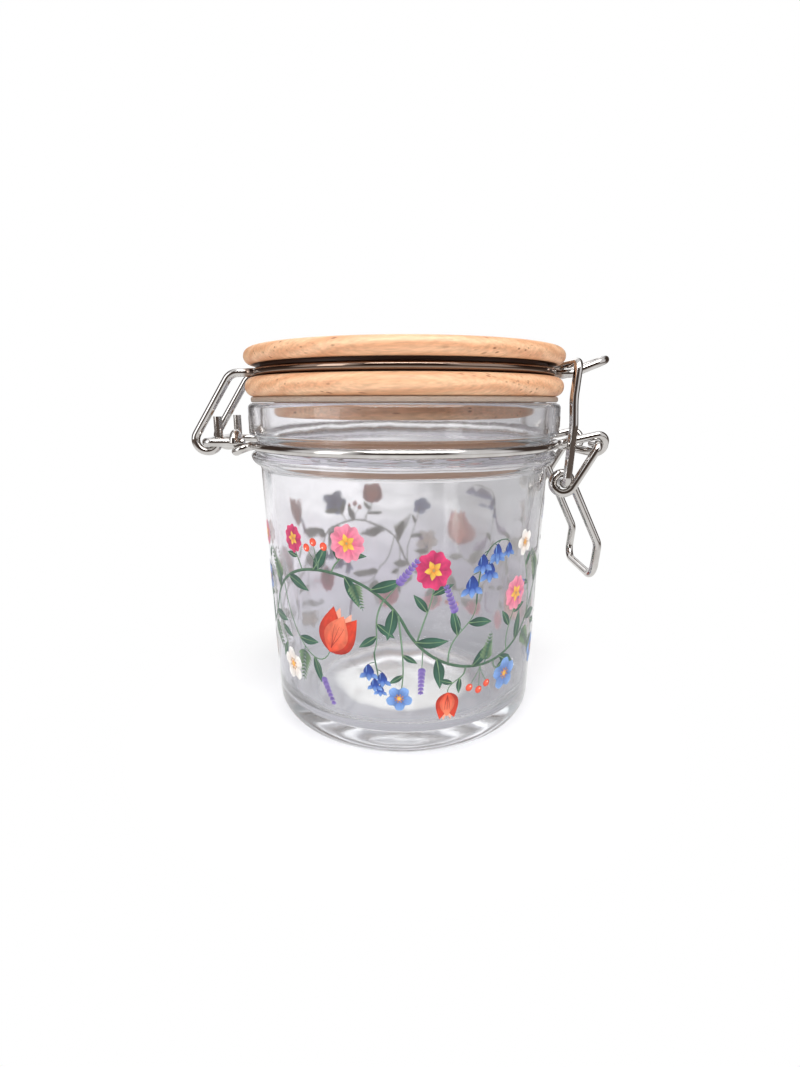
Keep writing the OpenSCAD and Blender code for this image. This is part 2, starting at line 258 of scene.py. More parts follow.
# Print on the glass: a scrolling vine with tulips, bells, primroses and blossoms, in fired
# enamel inks. Each kind of motif is a thin film on the outer wall, paler where seen from inside:
# partly the muted back of the ink, partly painted light that makes up for the dim inside of the jar.
MEAN_R = 45.1
FRONT = -90.0
HALF_WAVES = 6
VINE_Z = 43.0
VINE_BEND, VINE_REACH = 19.0, 9.0
VINE_W, BRANCH_W, TWIG_W = 0.85, 0.55, 0.32
LEAF_LAYER, SPRIG_LAYER, FLOWER_LAYER = 1, 2, 3
FILM_GAP, FILM_STEP, FILM_T = 0.02, 0.016, 0.006
FILM_SHIFT, FILM_SHIFTS, FILM_MERGE = 0.00005, 30, 0.0001
PETAL_ROWS, PETAL_SIDE = 10, 4
WASH_MM, INSIDE_PALING = 2.2, 0.48
half_wave = 2 * math.pi * MEAN_R / HALF_WAVES
prints = {}


def mixed(first, second, share):
    """A colour between two linear colours."""
    return [a + (b - a) * share for a, b in zip(first, second)]


def petal(root, way, length, width, base, tip, blunt=0.0, notch=0.0, bend=0.0, rise=0):
    """A leaf or petal as a grid, from its root along a heading, shaded and streaked to its tip."""
    along = Vector((math.cos(math.radians(way)), math.sin(math.radians(way))))
    across = Vector((-along.y, along.x))
    rows, shades = [], []
    for i in range(PETAL_ROWS + 1):
        t = i / PETAL_ROWS
        pointed = math.sin(math.pi * t ** 0.85)
        full = math.sin(math.pi / 2 * min(1, 1.35 * t)) ** 0.8
        half = width / 2 * ((1 - blunt) * pointed + blunt * full)
        row, shade = [], []
        for j in range(-PETAL_SIDE, PETAL_SIDE + 1):
            s = j / PETAL_SIDE
            cut = notch * math.cos(math.pi * s / 2) ** 2 + 0.45 * blunt * s ** 4
            reach = length * t * (1 - cut * t * t)
            row.append(Vector(root) + along * reach + across * (half * s + bend * length * t * t))
            streak = (1 - 0.25 * s ** 4) * (1 - 0.14 * (j % 2) * math.sin(math.pi * t))
            shade.append([c * streak for c in mixed(base, tip, t ** 0.8)[:3]] + [1.0])
        rows.append(row)
        shades.append(shade)
    return rows, shades, rise


def disc(centre, radius, inner, outer, rise=0):
    """A round spot, shaded from its middle to its edge."""
    sides = 12
    rings = [0, 0.55, 1]
    turns = [2 * math.pi * k / sides for k in range(sides + 1)]
    spokes = [Vector((math.cos(a), math.sin(a))) * radius for a in turns]
    rows = [[Vector(centre) + spoke * g for spoke in spokes] for g in rings]
    return rows, [[mixed(inner, outer, g)] * (sides + 1) for g in rings], rise


def bezier(points, t):
    """The place and the direction at a share of the way along a Bezier curve of four points."""
    a, b, c, d = [Vector(p) for p in points]
    u = 1 - t
    spot = a * u ** 3 + b * 3 * u * u * t + c * 3 * u * t * t + d * t ** 3
    return spot, (b - a) * u * u + (c - b) * 2 * u * t + (d - c) * t * t


def stem(points, wide, narrow, colour, rise=0, steps=16):
    """A tapered stroke along a Bezier curve, darker on one side."""
    rows, shades = [], []
    for i in range(steps + 1):
        t = i / steps
        spot, way = bezier(points, t)
        side = Vector((-way.y, way.x)).normalized() * (wide + (narrow - wide) * t) / 2
        rows.append([spot - side, spot, spot + side])
        shades.append([[c * 0.7 for c in colour[:3]] + [1.0], colour, colour])
    return rows, shades, rise


def stamp(piece, shapes, centre=(0, 0), turn=0.0, squash=1.0, layer=FLOWER_LAYER):
    """Prints a motif's shapes round a centre, turned and seen a little from the side."""
    x, y = centre
    c, s = math.cos(math.radians(turn)), math.sin(math.radians(turn))
    for rows, shades, rise in shapes:
        moved = [
            [(x + c * p.x - s * p.y * squash, y + s * p.x + c * p.y * squash) for p in row]
            for row in rows
        ]
        prints.setdefault(piece, []).append((moved, shades, layer + rise))


LEAF_DARK, LEAF_MID, LEAF_PALE = linear("#24443C"), linear("#41705A"), linear("#86A478")
STEM_GREEN, FINE_GREEN = linear("#4A6B53"), linear("#6F8C72")
SCARLET, RED, CORAL = linear("#A81E14"), linear("#E2401F"), linear("#FA6A4B")
SALMON, BLUSH = linear("#FF8A66"), linear("#FFB59A")
MAGENTA, ROSE, PINK = linear("#A5164F"), linear("#E23F76"), linear("#F79BB0")
NAVY, ROYAL, SKY = linear("#1B2D78"), linear("#2F57B4"), linear("#86AEE6")
WHITE, CREAM = linear("#FFFCF8"), linear("#F8E0D0")
YELLOW, ORANGE, BROWN = linear("#F7D35A"), linear("#EE8A2C"), linear("#8E3B1E")
PURPLE, LILAC = linear("#5B3F96"), linear("#A08AD0")


def leaf(length, width, bend=0.0):
    """A leaf with a pale midrib."""
    end = (length * 0.92, bend * length * 0.85)
    rib = [(0, 0), (length * 0.3, 0), (length * 0.6, bend * length * 0.34), end]
    return [
        petal((0, 0), 0, length, width, LEAF_DARK, LEAF_MID, bend=bend),
        stem(rib, 0.28, 0.08, LEAF_PALE, rise=1, steps=8),
    ]


def straight(length):
    """The four points of a straight stroke."""
    return [(length * share, 0) for share in (0, 0.3, 0.7, 1)]


def fern(length):
    """A fern sprig: a rib with pairs of narrow leaflets."""
    pairs = 8
    shapes = [stem(straight(length), 0.36, 0.12, LEAF_MID, steps=6)]
    for k in range(pairs):
        x = length * (0.12 + 0.84 * k / pairs)
        size = length * 0.32 * (1 - 0.75 * k / pairs)
        for side in (1, -1):
            shapes.append(petal((x, 0), side * 52, size, size * 0.36, LEAF_DARK, LEAF_PALE))
    return shapes


def lavender(length):
    """A lavender spike: whorls of small buds on a thin stalk."""
    whorls = 7
    shapes = [stem(straight(length), 0.34, 0.16, FINE_GREEN, steps=6)]
    for k in range(whorls):
        x = length * (0.4 + 0.6 * k / whorls)
        size = length * (0.13 - 0.006 * k)
        for side in (38, -38, 0):
            shapes.append(petal((x, 0), side, size, size * 0.55, PURPLE, LILAC, rise=1 + (side == 0)))
    return shapes


def berries(reach):
    """A forked stalk with three berries."""
    shapes = []
    for bend, share in ((-0.45, 0.85), (0.05, 1.0), (0.5, 0.8)):
        end = (reach * share, reach * share * bend)
        fork = [(0, 0), (reach * 0.3, 0), (end[0] * 0.7, end[1] * 0.8), end]
        shapes.append(stem(fork, 0.3, 0.22, FINE_GREEN, steps=6))
        shapes.append(disc(end, reach * 0.15, CORAL, RED, rise=1))
        glint = (end[0] - reach * 0.04, end[1] + reach * 0.05)
        shapes.append(disc(glint, reach * 0.035, WHITE, BLUSH, rise=2))
    return shapes


def tulip(size):
    """A tulip cup: a middle petal between two side petals, in front of two more."""
    shapes = []
    for lean, reach, broad, base, tip, rise in (
        (-13, 0.98, 0.36, CORAL, BLUSH, 0),
        (13, 0.98, 0.36, CORAL, BLUSH, 0),
        (-27, 0.95, 0.5, SCARLET, RED, 1),
        (27, 0.95, 0.5, SCARLET, RED, 2),
        (0, 0.86, 0.52, RED, SALMON, 3),
    ):
        length, width = size * reach, size * broad
        shapes.append(petal((0, 0), 90 - lean, length, width, base, tip, bend=lean / 130, rise=rise))
    for lean in (-9, 0, 9):
        end = (size * 0.62 * math.sin(math.radians(lean)), size * 0.62)
        vein = [(0, size * 0.1), (0, size * 0.2), (end[0], size * 0.4), end]
        shapes.append(stem(vein, 0.24, 0.08, SCARLET, rise=4, steps=6))
    return shapes


def bell(size):
    """A hanging bell with three curled lips."""
    shapes = [petal((0, 0), -90, size * 0.86, size * 0.62, NAVY, ROYAL, blunt=0.85)]
    for lean in (-38, 38, 0):
        root = (lean / 38 * size * 0.17, -size * 0.55)
        lip = petal(root, -90 + lean, size * 0.48, size * 0.3, ROYAL, SKY, bend=lean / 260, rise=1)
        shapes.append(lip)
    x = -size * 0.13
    glint = [(x, -size * 0.14), (x, -size * 0.3), (x, -size * 0.4), (x, -size * 0.5)]
    return shapes + [stem(glint, 0.26, 0.1, SKY, rise=2, steps=5)]


def bell_spray(size, falling):
    """A stalk with bells hung along it, which nods over or, on a branch that falls, falls with it."""
    if falling:
        bells = 4
        arch = [(0, 0), (0, -size * 0.25), (size * 0.1, -size * 0.5), (size * 0.08, -size * 0.7)]
    else:
        bells = 6
        arch = [(0, 0), (0, size * 0.75), (size * 0.18, size * 1.15), (size * 0.62, size * 1.05)]
    shapes = [stem(arch, 0.5, 0.3, STEM_GREEN)]
    for k in range(bells):
        t = 0.3 + 0.7 * k / (bells - 1)
        spot, _ = bezier(arch, t)
        side = 1 if k % 2 else -1
        hang = spot + Vector((side * size * 0.16 * (1.25 - t), -size * 0.05))
        shapes.append(stem([spot, spot, hang, hang], 0.26, 0.26, STEM_GREEN, steps=3))
        for rows, shades, rise in bell(size * (0.46 - 0.18 * t)):
            shapes.append(([[q + hang for q in row] for row in rows], shades, rise + 1 + k % 3))
    return shapes


def primrose(size, base, tip):
    """A primrose: five notched petals round a yellow star."""
    shapes = []
    length, width = size * 0.52, size * 0.53
    for k in range(5):
        way = 90 + 72 * k
        shapes.append(petal((0, 0), way, length, width, base, tip, blunt=1.0, notch=0.2, rise=k % 2))
        shapes.append(petal((0, 0), way, size * 0.24, size * 0.15, ORANGE, YELLOW, rise=3))
    return shapes + [disc((0, 0), size * 0.055, LEAF_PALE, ORANGE, rise=4)]


def blossom(size, base, tip):
    """A small blossom: five round petals and a ring of stamens."""
    shapes = []
    for k in range(5):
        way = 90 + 72 * k
        shapes.append(petal((0, 0), way, size * 0.5, size * 0.46, base, tip, blunt=0.9, rise=k % 2))
    for k in range(8):
        spot = Vector((math.cos(k * math.pi / 4), math.sin(k * math.pi / 4))) * size * 0.15
        shapes.append(disc(spot, size * 0.035, YELLOW, BROWN, rise=3))
    return shapes + [disc((0, 0), size * 0.1, YELLOW, ORANGE, rise=2)]


def bloom(kind, tip, way, size):
    """Prints one flower head of a kind at the end of its branch."""
    if kind == "tulip":
        stamp("printed_tulips", tulip(size), tip, way - 90)
    elif kind == "bells":
        falling = way < 0
        nod = 0 if falling else (way - 90) * 0.4
        stamp("printed_bells", bell_spray(size * 1.1, falling), tip, nod)
    elif kind == "primrose":
        stamp("printed_primroses", primrose(size, MAGENTA, ROSE), tip, way, squash=0.88)
    elif kind == "pink":
        stamp("printed_primroses", primrose(size * 0.95, ROSE, PINK), tip, way, squash=0.94)
    elif kind == "sky":
        stamp("printed_blossoms", blossom(size * 0.85, ROYAL, SKY), tip, way)
    else:
        stamp("printed_blossoms", blossom(size * 0.9, CREAM, WHITE), tip, way, squash=0.92)


# Branches of a crest and of a dip of the vine: where each leaves the vine, its two bends and its
# end, from the middle of the half wave, and the size of its flower
BRANCHES = {
    1: [
        (0.16, (-15, -9), (-3, -19), (1, -10), 15),
        (0.05, (-23, -7), (-19, -13), (-16, -19), 12),
        (0.84, (14, 1), (17, -3), (15, -8), 12),
        (0.55, (4, 18), (8, 19), (8, 23), 12),
        (0.36, (-9, 17), (-11, 18), (-11, 22), 9),
        (0.94, (23, -8), (24, -15), (22, -22), 9),
    ],
    -1: [
        (0.30, (-12, -2), (-3, -2), (-3, 5), 15),
        (0.68, (8, -4), (14, -2), (13, 5), 12),
        (0.10, (-18, 4), (-15, 8), (-16, 16), 12),
        (0.58, (4, -18), (9, -17), (10, -20), 12),
        (0.40, (-5, -18), (-11, -17), (-11, -21), 9),
        (0.92, (23, 6), (16, 12), (16, 20), 9),
    ],
}

# Small sprigs round them: the motif, its piece, its place, its heading and its length
SPRIGS = {
    1: [
        (fern, "printed_ferns", (-18.5, 7), 128, 13),
        (fern, "printed_ferns", (-8.9, -10.8), -98, 12),
        (lavender, "printed_lavender", (18, 7.4), 52, 15),
        (lavender, "printed_lavender", (-4.3, -13.3), -66, 15),
        (berries, "printed_berries", (-1.5, 14.2), 97, 8),
        (fern, "printed_ferns", (9, 12.5), -70, 9),
    ],
    -1: [
        (fern, "printed_ferns", (17.7, -7.8), -46, 13),
        (fern, "printed_ferns", (1, -14.2), 78, 10),
        (lavender, "printed_lavender", (-18.6, -7), -92, 14),
        (lavender, "printed_lavender", (-7.4, -2.4), 110, 15),
        (berries, "printed_berries", (-0.5, -14.2), -94, 8),
        (lavender, "printed_lavender", (10.9, -3), 60, 13),
    ],
}

# The kinds of flower, which the branches take in turn
KINDS = ("tulip", "white", "bells", "pink", "primrose", "sky")

# Leaves of the vine and of a branch: how far along each grows and on which side, then their shape
VINE_LEAVES = ((0.09, 1), (0.23, -1), (0.44, 1), (0.62, -1), (0.76, 1), (0.9, -1))
VINE_LEAF_L, VINE_LEAF_W, VINE_LEAF_BEND, VINE_LEAF_TURN = 9.5, 3.4, 0.14, 42
BRANCH_LEAVES = ((0.4, 1), (0.66, -1))
BRANCH_LEAF_L, BRANCH_LEAF_W, BRANCH_LEAF_BEND, BRANCH_LEAF_TURN = 0.55, 0.36, 0.1, 48
for k in range(HALF_WAVES):
    middle = Vector(((k - 0.5) * half_wave, VINE_Z))
    up = 1 if k % 2 == 0 else -1
    half = half_wave / 2
    corners = [(-half, 0), (-half + VINE_REACH, VINE_BEND), (half - VINE_REACH, VINE_BEND), (half, 0)]
    vine = [middle + Vector((x, up * y)) for x, y in corners]
    stamp("printed_vine", [stem(vine, VINE_W, VINE_W, STEM_GREEN, steps=40)], layer=0)
    for share, side in VINE_LEAVES:
        spot, way = bezier(vine, share)
        blade = leaf(VINE_LEAF_L, VINE_LEAF_W, VINE_LEAF_BEND * side)
        turn = heading(way) + VINE_LEAF_TURN * side
        stamp("printed_leaves", blade, spot, turn, layer=LEAF_LAYER)
    for slot, (share, bend_a, bend_b, end, size) in enumerate(BRANCHES[up]):
        root, _ = bezier(vine, share)
        branch = [root] + [middle + Vector(p) for p in (bend_a, bend_b, end)]
        stamp("printed_vine", [stem(branch, BRANCH_W, TWIG_W, FINE_GREEN)], layer=0)
        tip, way = bezier(branch, 1.0)
        bloom(KINDS[(slot + 2 * k) % len(KINDS)], tip, heading(way), size)
        for share_up, side in BRANCH_LEAVES:
            spot, way = bezier(branch, share_up)
            length = size * BRANCH_LEAF_L
            blade = leaf(length, length * BRANCH_LEAF_W, BRANCH_LEAF_BEND * side)
            turn = heading(way) + BRANCH_LEAF_TURN * side
            stamp("printed_leaves", blade, spot, turn, layer=LEAF_LAYER)
    for motif, piece, spot, way, length in SPRIGS[up]:
        stamp(piece, motif(length), middle + Vector(spot), way, layer=SPRIG_LAYER)


def on_wall(point, lift):
    """A printed point wrapped on the tapered outer wall."""
    u, z = point
    r = BODY_BASE_R + taper * (z - HEEL_R) + lift
    a = math.radians(FRONT) + u / MEAN_R
    return (r * math.cos(a) * MM, r * math.sin(a) * MM, z * MM)


def enamel(name, paling):
    """Fired enamel ink: the film's own colours, clouded like a brushed wash, with a soft gloss, and mixed
    towards near-white by a share, which on the inside face is partly painted light.
    """
    material, tree, shader, _ = finish_named(name)
    ink = add(tree, "ShaderNodeVertexColor", layer_name="ink")
    place = add(tree, "ShaderNodeTexCoord").outputs["Object"]
    cloud = add(tree, "ShaderNodeTexNoise", {"Vector": place, "Scale": 1 / (WASH_MM * MM), "Detail": 2.0})
    depth = add(tree, "ShaderNodeMapRange", {0: cloud.outputs[0], 1: 0.3, 2: 0.7, 3: 0.82, 4: 1.12})
    wash = add(
        tree, "ShaderNodeMix", {0: 1.0, 6: ink.outputs[0], 7: depth.outputs[0]},
        data_type="RGBA", blend_type="MULTIPLY",
    )
    seen = add(
        tree, "ShaderNodeMix", {0: paling, 6: wash.outputs[2], 7: linear("#FFF2EA")}, data_type="RGBA"
    )
    tree.links.new(seen.outputs[2], shader.inputs["Base Color"])
    shader.inputs["Roughness"].default_value = 0.38
    shader.inputs["IOR"].default_value = 1.5
    return material


# The inside face is mixed towards near-white: partly the muted back of the ink, partly painted light for
# the dim inside of the jar
enamels = [enamel("Fired_enamel_ink", 0.0), enamel("Fired_enamel_ink_from_inside", INSIDE_PALING)]
for name, shapes in prints.items():
    points, faces, inks = [], [], []
    for n, (rows, shades, layer) in enumerate(shapes):
        first, width = len(points), len(rows[0])
        lift = FILM_GAP + layer * FILM_STEP + n % FILM_SHIFTS * FILM_SHIFT
        points += [on_wall(p, lift) for row in rows for p in row]
        inks += [shade for row in shades for shade in row]
        for i in range(len(rows) - 1):
            for j in range(width - 1):
                a = first + i * width + j
                faces.append((a, a + width, a + width + 1, a + 1))
    mesh = bpy.data.meshes.new(name)
    mesh.from_pydata(points, [], faces)
    colours = mesh.color_attributes.new("ink", "FLOAT_COLOR", "POINT")
    colours.data.foreach_set("color", [c for shade in inks for c in shade])
    film = bpy.data.objects.new(name, mesh)
    bpy.context.scene.collection.objects.link(film)
    bpy.ops.object.select_all(action="DESELECT")
    film.select_set(True)
    bpy.context.view_layer.objects.active = film
    bpy.ops.object.mode_set(mode="EDIT")
    bpy.ops.mesh.select_all(action="SELECT")
    bpy.ops.mesh.remove_doubles(threshold=FILM_MERGE * MM)
    bpy.ops.object.mode_set(mode="OBJECT")
    for material in enamels:
        film.data.materials.append(material)
    thick = film.modifiers.new("thickness", "SOLIDIFY")
    thick.thickness = FILM_T * MM
    thick.offset = -1
    thick.material_offset = 1
    bpy.ops.object.modifier_apply(modifier=thick.name)
    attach(film, "jar")


# Closure wires: bright drawn spring steel, cut and bent cold on a wire-forming machine.
# The neck wire grips the collar, and the lid wire, lever and bail hang from its bends.
steel, tree, shader, _ = finish_named("Drawn_steel_wire")
shader.inputs["Metallic"].default_value = 1.0
place, out, high = round_axis(tree)
SCUFF_MM, DRAW_MM, DRAW_DEPTH_MM = 4.0, 0.5, 0.001
scuff = add(tree, "ShaderNodeTexNoise", {"Vector": place, "Scale": 1 / (SCUFF_MM * MM), "Detail": 4.0})
draw = add(tree, "ShaderNodeTexNoise", {"Vector": place, "Scale": 1 / (DRAW_MM * MM), "Detail": 2.0})
tone = add(
    tree, "ShaderNodeMix",
    {0: scuff.outputs[0], 6: linear("#B4AFAA"), 7: linear("#DAD8D6")}, data_type="RGBA",
)

# Where it lies in the lid's groove, the wire's colour is mixed towards brown: painted shade and painted
# reflection of the dark wood round it
LID_R = 50.0
GROOVE_Z, UPPER_Z = 110.05, 113.65
GROOVE_SHADE_EDGE, GROOVE_SHADE_RISE, GROOVE_SHADE_SHARE = 0.5, 1.0, 0.8
within = add(
    tree, "ShaderNodeMapRange",
    {0: out, 1: (LID_R - GROOVE_SHADE_EDGE) * MM, 2: (LID_R + GROOVE_SHADE_EDGE) * MM, 3: 1.0, 4: 0.0},
)
raised = add(
    tree, "ShaderNodeMapRange",
    {0: high, 1: (GROOVE_Z - GROOVE_SHADE_RISE) * MM, 2: GROOVE_Z * MM, 3: 0.0, 4: GROOVE_SHADE_SHARE},
)
wire_shade_mask = add(tree, "ShaderNodeMath", {0: within.outputs[0], 1: raised.outputs[0]}, operation="MULTIPLY")
# Painted shade and painted reflection: the wire's colour turns brown inside the groove
shaded_wire_tone = add(
    tree, "ShaderNodeMix",
    {0: wire_shade_mask.outputs[0], 6: tone.outputs[2], 7: linear("#7A5C46")}, data_type="RGBA",
)
dulled = add(tree, "ShaderNodeMapRange", {0: scuff.outputs[0], 1: 0.3, 2: 0.75, 3: 0.05, 4: 0.14})
lines = add(
    tree, "ShaderNodeBump",
    {"Height": draw.outputs[0], "Distance": DRAW_DEPTH_MM * MM, "Strength": 1.0},
)
tree.links.new(shaded_wire_tone.outputs[2], shader.inputs["Base Color"])
tree.links.new(dulled.outputs[0], shader.inputs["Roughness"])
tree.links.new(lines.outputs[0], shader.inputs["Normal"])
for node in ("neck_wire", "lid_wire", "latch_lever", "latch_bail"):
    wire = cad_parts[node]
    wire.data.materials.clear()
    wire.data.materials.append(steel)


# Wooden lid: one disc of steamed beech, turned on a lathe with two bullnosed flanges, a
# groove for the lid wire and a plug, then sanded and lightly oiled.
FLANGE_Z, LID_TOP = 104.25, 118.45
GROOVE_FLOOR_R = 45.0
PLUG_R, PLUG_Z, PLUG_EDGE = 41.5, 98.05, 1.0
lower_nose, upper_nose = (GROOVE_Z - FLANGE_Z) / 2, (LID_TOP - UPPER_Z) / 2
lid_outline = (
    [(0, PLUG_Z)]
    + arc((PLUG_R - PLUG_EDGE, PLUG_Z + PLUG_EDGE), PLUG_EDGE, -90, 0, 6)
    + [(PLUG_R, FLANGE_Z)]
    + arc((LID_R - lower_nose, FLANGE_Z + lower_nose), lower_nose, -90, 90, 24)
    + [(GROOVE_FLOOR_R, GROOVE_Z), (GROOVE_FLOOR_R, UPPER_Z)]
    + arc((LID_R - upper_nose, UPPER_Z + upper_nose), upper_nose, -90, 90, 24)
    + [(0, LID_TOP)]
)
lid = turned("turned_beech_lid", lid_outline)

# Beech is a warm tan with faint growth rings, fine pores and short dark ray flecks along the grain
beech, tree, shader, _ = finish_named("Oiled_turned_beech")
RING_MM, FIBRE_MM, FLECK_MM, PATCH_MM, PORE_DEPTH_MM = 3.2, 0.55, 1.4, 12.0, 0.02
GRAIN_TILT = (0.22, 0.04, 0.06)
WAVE_SPACING = 0.31  # between the bands of Blender's wave texture at a scale of 1
place, out, high = round_axis(tree)
tilted = add(tree, "ShaderNodeMapping", {"Vector": place, "Rotation": GRAIN_TILT}).outputs[0]
grain = add(tree, "ShaderNodeMapping", {"Vector": tilted, "Scale": (0.05, 1, 1)}).outputs[0]
along = add(tree, "ShaderNodeMapping", {"Vector": tilted, "Scale": (0.14, 1, 1)}).outputs[0]
rings = add(
    tree, "ShaderNodeTexWave",
    {
        "Vector": grain, "Scale": WAVE_SPACING / (RING_MM * MM),
        "Distortion": 5.0, "Detail": 3.0, "Detail Scale": 1.6,
    },
    bands_direction="Z", wave_profile="SIN",
)
fibre = add(tree, "ShaderNodeTexNoise", {"Vector": along, "Scale": 1 / (FIBRE_MM * MM), "Detail": 4.0})
patch = add(tree, "ShaderNodeTexNoise", {"Vector": place, "Scale": 1 / (PATCH_MM * MM), "Detail": 2.0})
short = add(tree, "ShaderNodeMapping", {"Vector": place, "Scale": (0.2, 1, 1)}).outputs[0]
flecks = add(
    tree, "ShaderNodeTexVoronoi", {"Vector": short, "Scale": 1 / (FLECK_MM * MM), "Randomness": 1.0}
)
fleck = add(
    tree, "ShaderNodeMapRange", {0: flecks.outputs["Distance"], 1: 0.1, 2: 0.24, 3: 0.95, 4: 0.0}
)
patchy = add(tree, "ShaderNodeMapRange", {0: patch.outputs[0], 1: 0.45, 2: 0.6, 3: 0.1, 4: 1.0})
fleck_here = add(
    tree, "ShaderNodeMath", {0: fleck.outputs[0], 1: patchy.outputs[0]}, operation="MULTIPLY"
)
ring_tone = add(
    tree, "ShaderNodeMix",
    {0: rings.outputs["Fac"], 6: linear("#EFBF97"), 7: linear("#DFA57C")}, data_type="RGBA",
)
fibre_tone = add(tree, "ShaderNodeMapRange", {0: fibre.outputs[0], 1: 0.3, 2: 0.7, 3: 0.8, 4: 1.1})
wood = add(
    tree, "ShaderNodeMix", {0: 1.0, 6: ring_tone.outputs[2], 7: fibre_tone.outputs[0]},
    data_type="RGBA", blend_type="MULTIPLY",
)
marked = add(
    tree, "ShaderNodeMix",
    {0: fleck_here.outputs[0], 6: wood.outputs[2], 7: linear("#8C5634")}, data_type="RGBA",
)

# The groove is painted a dark brown: painted shade where the flanges and the wire shut out the light
GROOVE_MIDDLE, GROOVE_HALF = (GROOVE_Z + UPPER_Z) / 2, (UPPER_Z - GROOVE_Z) / 2
WOOD_SHADE_EDGE = 0.15
SHADED_R, UNSHADED_R = LID_R - 2.8, LID_R - 2.0
signed = add(tree, "ShaderNodeMath", {0: high, 1: GROOVE_MIDDLE * MM}, operation="SUBTRACT")
off_middle = add(tree, "ShaderNodeMath", {0: signed.outputs[0]}, operation="ABSOLUTE")
between = add(
    tree, "ShaderNodeMapRange",
    {0: off_middle.outputs[0], 1: GROOVE_HALF * MM, 2: (GROOVE_HALF + WOOD_SHADE_EDGE) * MM, 3: 1.0, 4: 0.0},
)
deep = add(tree, "ShaderNodeMapRange", {0: out, 1: SHADED_R * MM, 2: UNSHADED_R * MM, 3: 1.0, 4: 0.0})
wood_shade_mask = add(tree, "ShaderNodeMath", {0: between.outputs[0], 1: deep.outputs[0]}, operation="MULTIPLY")
# Painted shade: the wood in the groove is mixed towards dark brown
shaded_wood = add(
    tree, "ShaderNodeMix",
    {0: wood_shade_mask.outputs[0], 6: marked.outputs[2], 7: linear("#54321E")}, data_type="RGBA",
)
pores = add(
    tree, "ShaderNodeBump",
    {"Height": fibre.outputs[0], "Distance": PORE_DEPTH_MM * MM, "Strength": 0.5},
)
tree.links.new(shaded_wood.outputs[2], shader.inputs["Base Color"])
tree.links.new(pores.outputs[0], shader.inputs["Normal"])
shader.inputs["Roughness"].default_value = 0.46
shader.inputs["IOR"].default_value = 1.5
lid.data.materials.append(beech)
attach(lid, "lid")
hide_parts("wooden_lid")


# Seal: a flat ring of translucent white silicone, moulded and stretched over the plug.
# It lies under the lower flange and closes on the rim.
SEAL_INNER_R, SEAL_OUTER_R, SEAL_Z, SEAL_EDGE = 41.6, 48.5, 102.65, 0.6
seal_outline = (
    [(SEAL_INNER_R, SEAL_Z)]
    + arc((SEAL_OUTER_R - SEAL_EDGE, SEAL_Z + SEAL_EDGE), SEAL_EDGE, -90, 0, 6)
    + arc((SEAL_OUTER_R - SEAL_EDGE, FLANGE_Z - SEAL_EDGE), SEAL_EDGE, 0, 90, 6)
    + [(SEAL_INNER_R, FLANGE_Z), (SEAL_INNER_R, SEAL_Z)]
)
seal = turned("silicone_seal", seal_outline)

# Silicone rubber is milky and soft in gloss, with a fine moulded bloom. Its colours are a darkened
# brownish grey, which is painted shade from the lid above it
silicone, tree, shader, _ = finish_named("Moulded_silicone")
place = add(tree, "ShaderNodeTexCoord").outputs["Object"]
BLOOM_MM, SCATTER_MM = 1.2, 1.5
haze = add(tree, "ShaderNodeTexNoise", {"Vector": place, "Scale": 1 / (BLOOM_MM * MM), "Detail": 3.0})
# Painted shade: both colours of the white seal are darkened to brownish grey
shaded_milky_tone = add(
    tree, "ShaderNodeMix",
    {0: haze.outputs[0], 6: linear("#A48F80"), 7: linear("#BBAA9C")}, data_type="RGBA",
)
tree.links.new(shaded_milky_tone.outputs[2], shader.inputs["Base Color"])
shader.inputs["Roughness"].default_value = 0.45
shader.inputs["IOR"].default_value = 1.41
shader.inputs["Subsurface Weight"].default_value = 0.5
shader.inputs["Subsurface Radius"].default_value = (1.0, 0.9, 0.8)
shader.inputs["Subsurface Scale"].default_value = SCATTER_MM * MM
seal.data.materials.append(silicone)
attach(seal, "lid")
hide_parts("seal")


# Studio: a pale floor that fades into a white background, a soft lamp above, three soft fills,
# a bright strip, a glow behind the glass, and the camera where the photograph was taken from.
FLOOR_W, FLOOR_GAP = 8.0, 0.2 * MM
bpy.ops.object.select_all(action="DESELECT")
bpy.ops.mesh.primitive_plane_add(size=FLOOR_W, location=(0, 0, -FLOOR_GAP))
floor = bpy.context.object
floor.name = "floor"
paper, tree, shader, output = finish_named("White_paper_floor")
shader.inputs["Base Color"].default_value = linear("#F4F4F5")
shader.inputs["Roughness"].default_value = 0.9
shader.inputs["Specular IOR Level"].default_value = 0.1
rays = add(tree, "ShaderNodeLightPath")
place = add(tree, "ShaderNodeTexCoord").outputs["Object"]
away = add(tree, "ShaderNodeVectorMath", {0: place}, operation="LENGTH").outputs["Value"]

# Seen straight or in the metal, the floor fades to white round the jar, and in the metal a dark
# card lies farther off
FADE_NEAR, FADE_FAR = 0.046, 0.095
fade = add(
    tree, "ShaderNodeMapRange", {0: away, 1: FADE_NEAR, 2: FADE_FAR, 3: 0.0, 4: 1.0},
    interpolation_type="SMOOTHSTEP",
)
straight_ray, metal_ray = rays.outputs["Is Camera Ray"], rays.outputs["Is Glossy Ray"]
bright = add(tree, "ShaderNodeMath", {0: fade.outputs[0], 1: metal_ray}, operation="MAXIMUM")
direct = add(tree, "ShaderNodeMath", {0: straight_ray, 1: metal_ray}, operation="MAXIMUM")
share = add(tree, "ShaderNodeMath", {0: bright.outputs[0], 1: direct.outputs[0]}, operation="MULTIPLY")
CARD_NEAR, CARD_FAR = 0.25, 0.6
card = add(tree, "ShaderNodeMapRange", {0: away, 1: CARD_NEAR, 2: CARD_FAR, 3: 0.0, 4: metal_ray})
